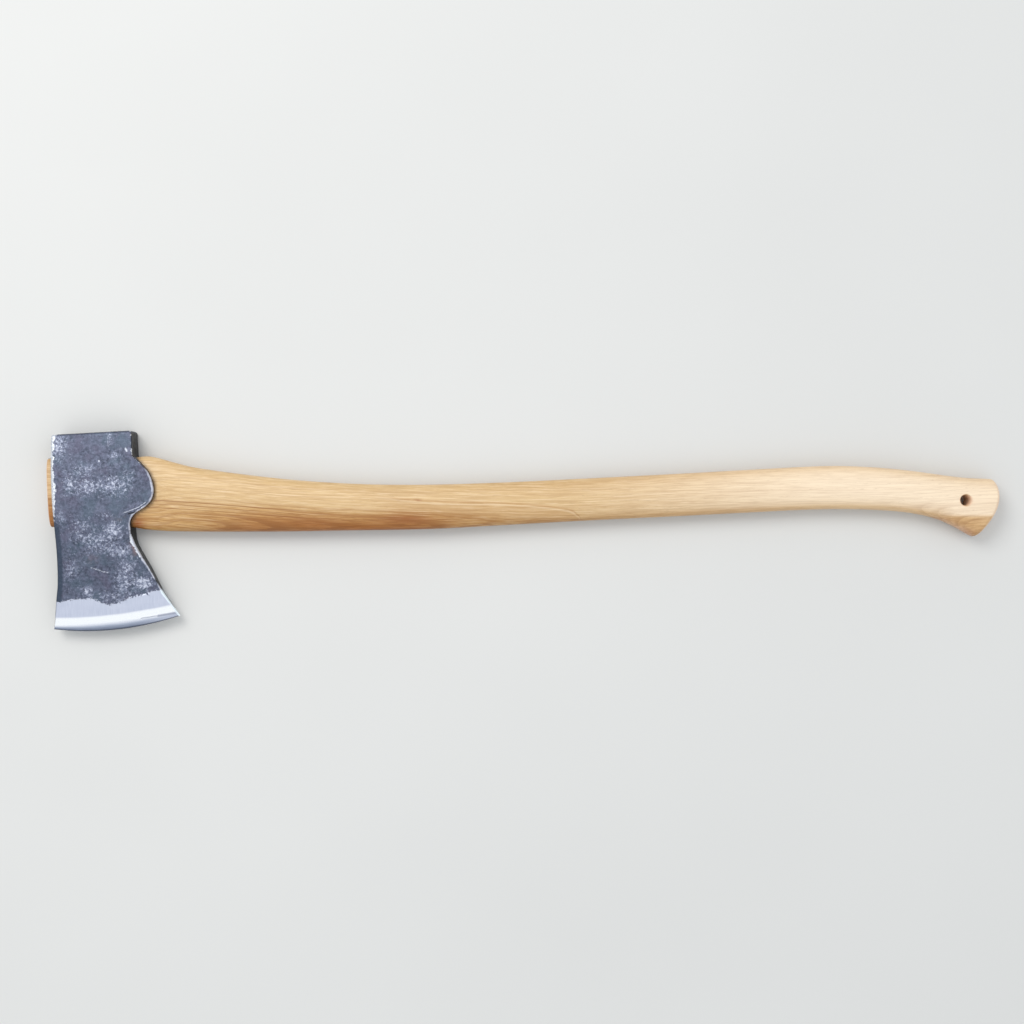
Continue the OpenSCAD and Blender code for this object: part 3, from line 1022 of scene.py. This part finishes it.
def ground_tone(sh, level, cloud, brushed, honed):
    """The ground metal: satin above, a polished bevel below it painted near white as a reflection,
    and the edge bevel painted darker as a reflection, with a painted shadow line at the very edge.
    """
    satin = sh.blend(sh.step(brushed, 0.3, 0.7), rgb(190, 195, 212), rgb(208, 212, 227))
    satin = sh.blend(sh.step(cloud, 0.35, 0.65, 0, 0.35), satin, rgb(213, 216, 230))
    # Painted reflection: the polished bevel is painted near white
    polished_reflection = sh.blend(sh.step(honed, 0.3, 0.7), rgb(250, 251, 254), rgb(255, 255, 255))
    # Painted reflection: the edge bevel is painted dark, and lighter towards the back
    dark_edge_reflection = sh.blend(sh.step(honed, 0.3, 0.7), rgb(118, 126, 144), rgb(146, 154, 172))
    dark_edge_reflection = sh.blend(sh.step(sh.value("across"), 0.6, 0.95, 0, 0.8), dark_edge_reflection, rgb(200, 204, 220))
    metal = sh.blend(sh.step(level, 2.16, 1.84), satin, polished_reflection)
    metal = sh.blend(sh.step(level, 1.22, 0.55), metal, rgb(190, 196, 212))
    metal = sh.blend(sh.step(level, 0.85, 0.25), metal, dark_edge_reflection)
    # A painted shadow line along the very edge
    metal = sh.blend(sh.step(sh.value("band"), 0.3, 0.05, 0, 0.85), metal, rgb(60, 64, 78))
    metal = sh.blend(sh.step(sh.value("mark"), -0.05, -0.35, 0, 0.8), metal, rgb(146, 150, 170))
    # The sides of the ground part are painted dark: painted shade
    metal = sh.blend(sh.step(sh.value("flatness"), 0.8, 0.3, 0, 0.8), metal, rgb(74, 80, 88))
    # A painted highlight along the back corner
    return sh.blend(sh.value("arris_highlight"), metal, rgb(240, 250, 255))


def steel_material():
    """Dark forged skin, worn and chipped, with bright ground metal towards the edge."""
    sh = Shader("forged_steel")
    wear = sh.value("wear")
    mottle = sh.noise(3.0, 7, 0.72, 1)
    fine = sh.noise(1.3, 5, 0.7, 2)
    fleck = sh.noise(2.7, 6, 0.68, 5, warp=0.5)
    worn = sh.plus(fleck, sh.times(sh.minus(wear, 0.37), 0.2))
    chips = sh.times(sh.minus(sh.noise(2.2, 6, 0.7, 7), 0.5), 2.4)
    chipped = sh.step(sh.plus(sh.value("bare"), chips), 0.5, 0.7)
    tone = skin_tone(sh, mottle, fine, wear)
    tone = worn_tone(sh, tone, wear, fleck, worn)
    tone = corner_tone(sh, tone, mottle, fine, chipped)

    brushed = sh.noise((0.22, 12, 12), 3, 0.6, 9)
    honed = sh.noise((9, 0.16, 9), 3, 0.6, 10)
    cloud = sh.noise((18, 9, 9), 3, 0.5, 11)
    level = sh.plus(sh.value("band"), sh.times(sh.minus(cloud, 0.5), 0.16))
    metal = ground_tone(sh, level, cloud, brushed, honed)

    jag = sh.times(sh.minus(sh.noise(1.7, 6, 0.7, 8), 0.5), 11.0)
    ground = sh.step(sh.plus(sh.value("grind"), jag), -0.25, 0.25)
    colour = sh.blend(ground, tone, metal)
    shine = sh.plus(sh.times(sh.step(worn, 0.6, 0.7), 0.3), sh.times(chipped, 0.5))
    metallic = sh.step(sh.plus(ground, shine), 0.0, 1.0, 0.45, 0.9)
    skin_rough = sh.step(mottle, 0.3, 0.7, 0.56, 0.42)
    ground_rough = sh.step(level, 2.16, 1.84, 0.36, 0.26)
    roughness = sh.add("Mix", {"Factor": ground, 2: skin_rough, 3: ground_rough},
                       data_type="FLOAT")
    pitted = sh.plus(mottle, sh.times(fine, 0.5))
    pitted = sh.times(pitted, sh.minus(1.0, ground))
    lines = sh.times(sh.plus(sh.times(brushed, 0.1), sh.times(honed, 0.05)), ground)
    normal = sh.bump(sh.plus(pitted, lines), 0.6, 0.14)
    return sh.finish(Base_Color=colour, Metallic=metallic, Roughness=roughness, Normal=normal)


# Where the tree's pith lies, across the grain and in height, and the width of its rings
PITH_ACROSS = 80.0
PITH_Z = -125.0
RING_WIDTH = 2.3
# Distance from the pith at which the edge of the heartwood keeps to the grain line
HEART_RADIUS = 173.0


def growth_rings(sh, across, z, drift, grain):
    """Distance from the pith, place within a ring, and the share of dark late wood."""
    sway = sh.minus(sh.noise((260, 40, 40), 2, 0.5, 1, place=grain), 0.5)
    off_y = sh.minus(across, PITH_ACROSS)
    off_z = sh.minus(z, PITH_Z)
    from_pith = sh.math("SQRT", sh.plus(sh.times(off_y, off_y), sh.times(off_z, off_z)))
    reach = sh.plus(from_pith, sh.plus(sh.times(sway, 7.0), sh.times(drift, 1.4)))
    rings = sh.times(reach, 1 / RING_WIDTH)
    ring = sh.math("FRACT", rings)
    own = sh.add("TexWhiteNoise", {"W": sh.math("FLOOR", rings)}, noise_dimensions="1D")
    late = sh.times(sh.step(ring, 0.3, 0.88), sh.step(ring, 1.0, 0.93))
    late = sh.times(late, sh.step(own, 0.2, 1.0, 0.12, 1.0))
    return from_pith, ring, late


def heart_share(sh, across, from_pith, drift, late):
    """How brown the heartwood is, which deepens in steps towards the lower side."""
    bend = sh.times(sh.minus(HEART_RADIUS, from_pith), 0.5)
    ragged = sh.plus(sh.plus(across, bend), sh.plus(sh.times(drift, 8.0), sh.times(late, -2.0)))
    soft = sh.step(ragged, 3.0, -8.0, 0, 0.3)
    brown = sh.step(ragged, -6.0, -10.5, 0, 0.3)
    deep = sh.step(ragged, -11.0, -23.0, 0, 0.45)
    return sh.times(sh.plus(sh.plus(soft, brown), deep), sh.value("heart"))


def figure_tone(sh, tone, thread, drift, pale, heartwood):
    """The pointed figure: browner inside, with a pale rim and a dark line beside it."""
    figure = sh.plus(sh.value("figure"), sh.times(drift, 3.0))
    figured = sh.times(sh.value("figured"), sh.step(thread, 0.3, 0.6, 0.5, 1.0))
    inside = sh.times(sh.step(figure, 0.2, 2.4), sh.step(figure, 26.0, 8.0))
    tone = sh.blend(sh.times(sh.times(inside, figured), 0.2), tone, heartwood)
    rim = sh.times(sh.step(figure, -0.6, 0.3), sh.step(figure, 2.0, 0.7))
    tone = sh.blend(sh.times(sh.times(rim, figured), 0.5), tone, pale)
    shadow = sh.times(sh.step(figure, -2.4, -1.2), sh.step(figure, 0.0, -0.7))
    return sh.blend(sh.times(sh.times(shadow, figured), 0.4), tone, heartwood)


def grain_tone(sh, tone, x, heart, late, thread, fibre, cream, darker):
    """Dark late wood, and dark and light fibres that are crisper towards the head."""
    dark_line = sh.blend(sh.step(heart, 0.0, 0.5, 0.45, 0.72), tone, darker)
    fade = sh.plus(sh.step(x, -240.0, 60.0, 0.5, 0.25), sh.times(heart, 0.6))
    tone = sh.blend(sh.times(late, fade), tone, dark_line)
    light_line = sh.blend(sh.step(heart, 0.1, 0.7, 0.5, 0.1), tone, cream)
    crisp = sh.step(x, 60.0, 330.0, 1.0, 0.55)
    tone = sh.blend(sh.times(sh.step(thread, 0.48, 0.62, 0, 0.4), crisp), tone, dark_line)
    tone = sh.blend(sh.step(thread, 0.46, 0.36, 0, 0.35), tone, light_line)
    streaky = sh.times(sh.plus(sh.times(heart, 0.7), 0.5), crisp)
    tone = sh.blend(sh.times(sh.step(fibre, 0.49, 0.6), streaky), tone, dark_line)
    return sh.blend(sh.step(fibre, 0.46, 0.36, 0, 0.45), tone, light_line)


def ring_lines(sh, tone, x, across, drift, darker):
    """The few dark rings beside the head."""
    for place, width in DARK_LINES:
        away = sh.math("ABSOLUTE", sh.plus(sh.plus(across, sh.times(drift, 2.4)), -place))
        line = sh.times(sh.step(away, width, 0.1), sh.step(x, -130.0, -230.0))
        tone = sh.blend(sh.times(line, 0.65), tone, darker)
    return tone


def joint_line(sh, tone, x, z):
    """Dark joints between the wedge and the sawn end of the tongue."""
    from_middle = sh.math("ABSOLUTE", sh.plus(z, -EYE.z / MM))
    from_joint = sh.math("ABSOLUTE", sh.plus(from_middle, -WEDGE_THICKNESS / 2))
    at_end = sh.step(x, EYE.x / MM + 1, EYE.x / MM - 1)
    joint = sh.times(sh.step(from_joint, 0.5, 0.15), at_end)
    return sh.blend(sh.times(joint, 0.6), tone, rgb(84, 50, 28))


def wood_material(name, honey, cream, heartwood):
    """Straight-grained wood, paler towards the knob and with brown heartwood below."""
    sh = Shader(name)
    x, z = (sh.add("SeparateXYZ", {0: sh.place}, output=i) for i in (0, 2))
    across = sh.value("across")
    grain = sh.add("CombineXYZ", {0: x, 1: across, 2: z})
    drift = sh.minus(sh.noise((70, 7, 12), 3, 0.5, 2, place=grain), 0.5)
    from_pith, ring, late = growth_rings(sh, across, z, drift, grain)
    heart = heart_share(sh, across, from_pith, drift, late)
    fibre = sh.noise((22, 0.7, 1.8), 3, 0.6, 3, place=grain)
    thread = sh.noise((90, 1.5, 5), 4, 0.62, 4, place=grain)
    band = sh.noise((240, 6, 9), 3, 0.55, 5, place=grain)
    pores = sh.noise((6, 0.26, 0.26), 2, 0.5, 6, place=grain)
    pores = sh.times(sh.step(pores, 0.6, 0.7), sh.step(ring, 0.45, 0.1))
    darker = sh.blend(0.5, heartwood, rgb(104, 62, 28))

    tone = sh.blend(sh.step(x, 0.0, 330.0), honey, cream)
    tone = sh.blend(sh.step(band, 0.4, 0.64, 0, 0.25), tone, sh.blend(0.3, tone, heartwood))
    tone = sh.blend(heart, tone, heartwood)
    # Stains, and painted shade along the knob's lower flank
    tone = sh.blend(sh.times(sh.value("stain_and_shade"), 0.7), tone, rgb(156, 88, 32))
    tone = sh.blend(sh.step(heart, 0.05, 0.35), tone, (1.0, 0.97, 0.82, 1.0), "MULTIPLY")
    tone = figure_tone(sh, tone, thread, drift, sh.blend(0.5, honey, cream), heartwood)
    tone = grain_tone(sh, tone, x, heart, late, thread, fibre, cream, darker)
    tone = ring_lines(sh, tone, x, across, drift, darker)
    tone = sh.blend(sh.times(pores, 0.4), tone, rgb(132, 88, 48))

    # Painted shade and handling wear darken the sloping faces
    tone = sh.blend(sh.value("handling_and_shade"), tone, (0.84, 0.72, 0.55, 1.0), "MULTIPLY")
    end_tone = sh.blend(0.7, tone, rgb(246, 206, 180))
    tone = sh.blend(sh.times(sh.value("end"), 0.6), tone, end_tone)
    # Darker beside the head, and painted shade in the hole
    tone = sh.blend(sh.times(sh.value("head_line_and_hole_shade"), 0.92), tone, rgb(52, 26, 13))
    tone = joint_line(sh, tone, x, z)
    height = sh.plus(sh.times(fibre, 0.6), sh.times(pores, -1.0))
    normal = sh.bump(height, 0.3, 0.05)
    roughness = sh.step(fibre, 0.2, 0.8, 0.40, 0.54)
    return sh.finish(Base_Color=tone, Roughness=roughness, Normal=normal,
                     Coat_Weight=0.12, Coat_Roughness=0.35)


def hickory_material():
    return wood_material("hickory", rgb(218, 184, 132), rgb(250, 228, 198), rgb(166, 100, 24))


def wedge_material():
    return wood_material("wedge_wood", rgb(168, 116, 72), rgb(184, 132, 86), rgb(122, 74, 40))


def staple_material():
    sh = Shader("staple_steel")
    grit = sh.noise(0.8, 3, 0.6, 1)
    tone = sh.blend(sh.step(grit, 0.3, 0.7), rgb(158, 158, 162), rgb(206, 206, 210))
    normal = sh.bump(grit, 0.3, 0.05)
    return sh.finish(Base_Color=tone, Metallic=1.0, Roughness=0.38, Normal=normal)


# ---- the axe ----

def dress(piece, node, material):
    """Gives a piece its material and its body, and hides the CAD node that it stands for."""
    piece.data.materials.clear()
    piece.data.materials.append(material)
    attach(piece, "root")
    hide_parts(node)


dress(make_head(), "axe_head", steel_material())
dress(make_haft(), "haft", hickory_material())
dress(make_wedge(), "eye_wedge", wedge_material())
dress(make_staple(), "wedge_staple", staple_material())


# ---- floor, lights and camera ----

FLOOR_REACH = 4.0


def make_floor():
    """A plain pale floor under the axe."""
    mesh = bpy.data.meshes.new("floor")
    corners = [(x * FLOOR_REACH, y * FLOOR_REACH, 0) for x, y in SQUARE]
    mesh.from_pydata(corners, [], [(0, 1, 2, 3)])
    sh = Shader("floor")
    tone = sh.blend(sh.noise(300, 2, 0.5, 1), rgb(214, 213, 210), rgb(220, 219, 216))
    mesh.materials.append(sh.finish(Base_Color=tone, Roughness=0.8))
    floor = add_object("floor", mesh)


KEY_PLACE = (-0.9, 1.1, 1.9)
KEY_SIZE = 1.3
KEY_POWER = 22
KEY_COLOUR = (1.0, 0.985, 0.96)
SKY_COLOUR = (0.92, 0.96, 1.0, 1)
# Strength of the sky from the horizon up to the height at which it is full
SKY_LOW = 0.42
SKY_FULL_HEIGHT = 0.75


def add_key_light():
    """A soft round light that points at the middle of the axe."""
    light = bpy.data.lights.new("key", "AREA")
    light.shape = "DISK"
    light.size = KEY_SIZE
    light.energy = KEY_POWER
    light.color = KEY_COLOUR
    lamp = add_object("key", light)
    lamp.location = KEY_PLACE
    lamp.rotation_euler = (-Vector(KEY_PLACE)).to_track_quat("-Z", "Y").to_euler()


def add_sky():
    """A plain sky that is dimmer towards the horizon."""
    world = bpy.data.worlds.new("studio")
    world.use_nodes = True
    nodes, links = world.node_tree.nodes, world.node_tree.links
    back = nodes["Background"]
    back.inputs["Color"].default_value = SKY_COLOUR
    toward = nodes.new("ShaderNodeTexCoord")
    split = nodes.new("ShaderNodeSeparateXYZ")
    ramp = nodes.new("ShaderNodeMapRange")
    ramp.interpolation_type = "SMOOTHSTEP"
    settings = {"From Min": 0.0, "From Max": SKY_FULL_HEIGHT, "To Min": SKY_LOW, "To Max": 1.0}
    for key, value in settings.items():
        ramp.inputs[key].default_value = value
    links.new(toward.outputs["Generated"], split.inputs[0])
    links.new(split.outputs["Z"], ramp.inputs["Value"])
    links.new(ramp.outputs[0], back.inputs["Strength"])
    bpy.context.scene.world = world


# The camera looks straight down, from a place in metres and with a lens in millimetres
CAMERA_PLACE = (-0.0097, 0.0179, 1.5)
FOCAL = 55.69
SENSOR = 36.0


def add_camera():
    data = bpy.data.cameras.new("camera")
    data.lens = FOCAL
    data.sensor_width = SENSOR
    camera = add_object("camera", data)
    camera.location = CAMERA_PLACE
    bpy.context.scene.camera = camera


make_floor()
add_key_light()
add_sky()
add_camera()
bpy.context.scene.view_settings.view_transform = "Standard"
